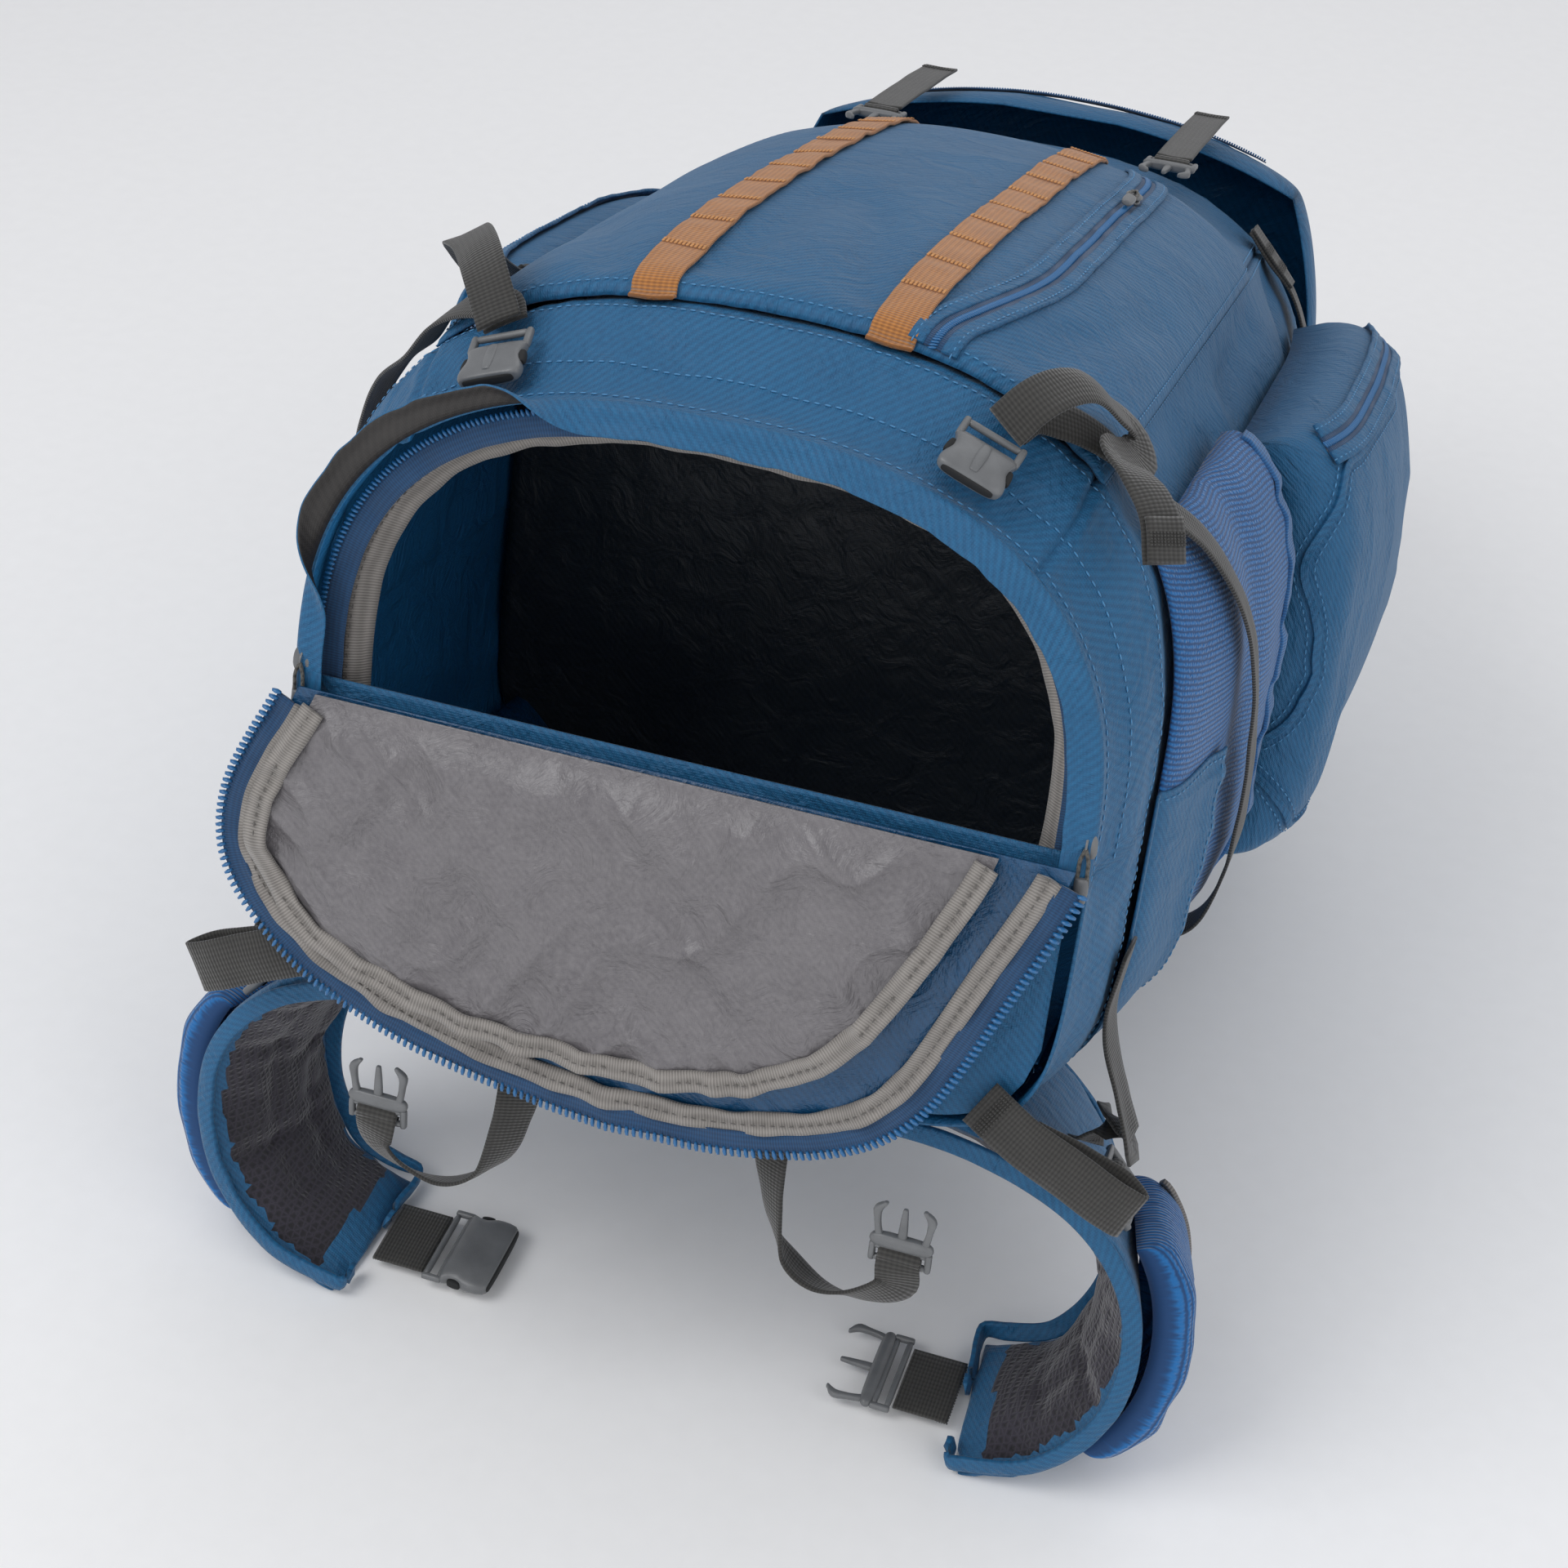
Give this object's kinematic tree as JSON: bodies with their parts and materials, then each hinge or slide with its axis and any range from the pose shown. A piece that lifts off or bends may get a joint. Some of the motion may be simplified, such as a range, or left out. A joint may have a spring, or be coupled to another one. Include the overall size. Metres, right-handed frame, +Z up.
{
  "type": "hiking backpack",
  "caption": "Large soft hiking backpack lying on its back, with its bottom door folded open and its padded hip belt curled under it",
  "frame": {"origin": "on the ground, under the middle of the pack's box", "axes": "+X the wearer's right, +Y from the open bottom end towards the lid, +Z up, which is from the pack's back to its front, less a lean of about 14 degrees"},
  "size_m": [0.51, 0.793, 0.5131],
  "materials": {
    "pack_cloth": "matte",
    "stretch_mesh": "matte",
    "lining": "satin",
    "webbing": "matte",
    "orange_webbing": "matte",
    "pad_foam": "matte",
    "buckle_nylon": "matte",
    "stay_aluminium": "satin",
    "sheet_plastic": "matte"
  },
  "bodies": {
    "pack": {"back_panel": "pack_cloth", "side_panel_right": "pack_cloth", "side_panel_left": "pack_cloth", "front_panel": "pack_cloth", "lower_band": "pack_cloth", "bottom_panel": "pack_cloth", "divider_panel": "lining", "frame_sheet": "sheet_plastic", "frame_stay": "stay_aluminium", "back_pad": "pad_foam", "lumbar_pad": "pad_foam", "front_pocket": "pack_cloth", "side_pocket_right": "pack_cloth", "side_pocket_left": "pack_cloth", "bottle_pocket_right": "stretch_mesh", "bottle_pocket_left": "stretch_mesh", "daisy_chain_right": "orange_webbing", "daisy_chain_left": "orange_webbing", "collar": "pack_cloth", "drawcord": "webbing", "lower_compression_strap_right": "webbing", "lower_compression_strap_left": "webbing", "upper_compression_strap_right": "webbing", "upper_compression_strap_left": "webbing", "stabiliser_strap_right": "webbing", "stabiliser_strap_left": "webbing", "shoulder_webbing_right": "webbing", "shoulder_webbing_left": "webbing"},
    "door": {"door_flap": "pack_cloth"},
    "lid": {"lid": "pack_cloth"},
    "sternum": {"sternum_strap": "webbing"},
    "cord_toggle": {"cord_lock": "buckle_nylon"},
    "haul": {"haul_loop": "webbing"},
    "front_zip": {"front_slider": "buckle_nylon"},
    "wing_left": {"hip_wing_left": "pack_cloth", "hip_pocket_left": "stretch_mesh", "hip_webbing_left": "webbing", "stabiliser_lock_left": "buckle_nylon", "belt_buckle_female": "buckle_nylon"},
    "shoulder_left": {"shoulder_strap_left": "pad_foam", "shoulder_lock_left": "buckle_nylon"},
    "bottom_strap_left": {"pad_strap_left": "webbing", "pad_buckle_left": "buckle_nylon"},
    "front_clip_left": {"front_buckle_left": "buckle_nylon"},
    "door_zip_left": {"door_slider_left": "buckle_nylon"},
    "lid_tail_left": {"lid_strap_left": "webbing", "lid_buckle_left": "buckle_nylon"},
    "wing_right": {"hip_wing_right": "pack_cloth", "hip_pocket_right": "stretch_mesh", "hip_webbing_right": "webbing", "stabiliser_lock_right": "buckle_nylon", "belt_buckle_male": "buckle_nylon"},
    "shoulder_right": {"shoulder_strap_right": "pad_foam", "shoulder_lock_right": "buckle_nylon"},
    "bottom_strap_right": {"pad_strap_right": "webbing", "pad_buckle_right": "buckle_nylon"},
    "front_clip_right": {"front_buckle_right": "buckle_nylon"},
    "door_zip_right": {"door_slider_right": "buckle_nylon"},
    "lid_tail_right": {"lid_strap_right": "webbing", "lid_buckle_right": "buckle_nylon"}
  },
  "joints": [
    {"name": "door_fold", "type": "hinge", "parent": "pack", "child": "door", "pos_m": [0, -0.33487, 0.34341], "axis": [-1, 0, 0], "range_deg": [-1, 176]},
    {"name": "lid_swing", "type": "hinge", "parent": "pack", "child": "lid", "pos_m": [0, 0.23874, 0.04941], "axis": [-1, 0, 0], "range_deg": [-1, 100]},
    {"name": "wing_swing_left", "type": "hinge", "parent": "pack", "child": "wing_left", "pos_m": [-0.098, -0.29326, 0.17282], "axis": [0, -0.9689, 0.2473], "range_deg": [-4, 14], "stiffness_Nm_per_rad": 12, "deforming": ["stabiliser_strap_left"]},
    {"name": "wing_swing_right", "type": "hinge", "parent": "pack", "child": "wing_right", "pos_m": [0.098, -0.29326, 0.17282], "axis": [0, 0.9689, -0.2473], "range_deg": [-4, 14], "stiffness_Nm_per_rad": 12, "deforming": ["stabiliser_strap_right"]},
    {"name": "shoulder_swing_left", "type": "hinge", "parent": "pack", "child": "shoulder_left", "pos_m": [-0.078, 0.18102, 0.0497], "axis": [1, 0, 0], "range_deg": [-0.5, 35], "deforming": ["shoulder_webbing_left"]},
    {"name": "shoulder_swing_right", "type": "hinge", "parent": "pack", "child": "shoulder_right", "pos_m": [0.078, 0.18102, 0.0497], "axis": [1, 0, 0], "range_deg": [-0.5, 35], "deforming": ["shoulder_webbing_right"]},
    {"name": "sternum_height", "type": "slide", "parent": "shoulder_left", "child": "sternum", "axis": [0, -0.9689, 0.2473], "range_m": [-0.03, 0.04]},
    {"name": "toggle_slide", "type": "slide", "parent": "pack", "child": "cord_toggle", "axis": [1, 0, 0], "range_m": [0, 0.03]},
    {"name": "haul_swing", "type": "hinge", "parent": "pack", "child": "haul", "pos_m": [0, 0.1832, 0.05017], "axis": [-1, 0, 0], "range_deg": [0, 70]},
    {"name": "front_zip_run", "type": "slide", "parent": "pack", "child": "front_zip", "axis": [0, -0.9689, 0.2473], "range_m": [0, 0.19]},
    {"name": "bottom_strap_swing_left", "type": "hinge", "parent": "pack", "child": "bottom_strap_left", "pos_m": [-0.059, -0.35693, 0.19836], "axis": [-1, 0, 0], "range_deg": [-12, 12]},
    {"name": "front_clip_swing_left", "type": "hinge", "parent": "pack", "child": "front_clip_left", "pos_m": [-0.105, -0.26067, 0.4865], "axis": [1, 0, 0], "range_deg": [-46, 1]},
    {"name": "door_zip_run_left", "type": "slide", "parent": "pack", "child": "door_zip_left", "axis": [0.03, 0.2472, 0.9685], "range_m": [0, 0.03]},
    {"name": "lid_tail_swing_left", "type": "hinge", "parent": "lid", "child": "lid_tail_left", "pos_m": [-0.084, 0.3581, 0.35127], "axis": [-1, 0, 0], "range_deg": [-2, 75]},
    {"name": "bottom_strap_swing_right", "type": "hinge", "parent": "pack", "child": "bottom_strap_right", "pos_m": [0.059, -0.35693, 0.19836], "axis": [-1, 0, 0], "range_deg": [-12, 12]},
    {"name": "front_clip_swing_right", "type": "hinge", "parent": "pack", "child": "front_clip_right", "pos_m": [0.105, -0.26067, 0.4865], "axis": [1, 0, 0], "range_deg": [-46, 1]},
    {"name": "door_zip_run_right", "type": "slide", "parent": "pack", "child": "door_zip_right", "axis": [-0.03, 0.2472, 0.9685], "range_m": [0, 0.03]},
    {"name": "lid_tail_swing_right", "type": "hinge", "parent": "lid", "child": "lid_tail_right", "pos_m": [0.084, 0.3581, 0.35127], "axis": [-1, 0, 0], "range_deg": [-2, 75]}
  ]
}
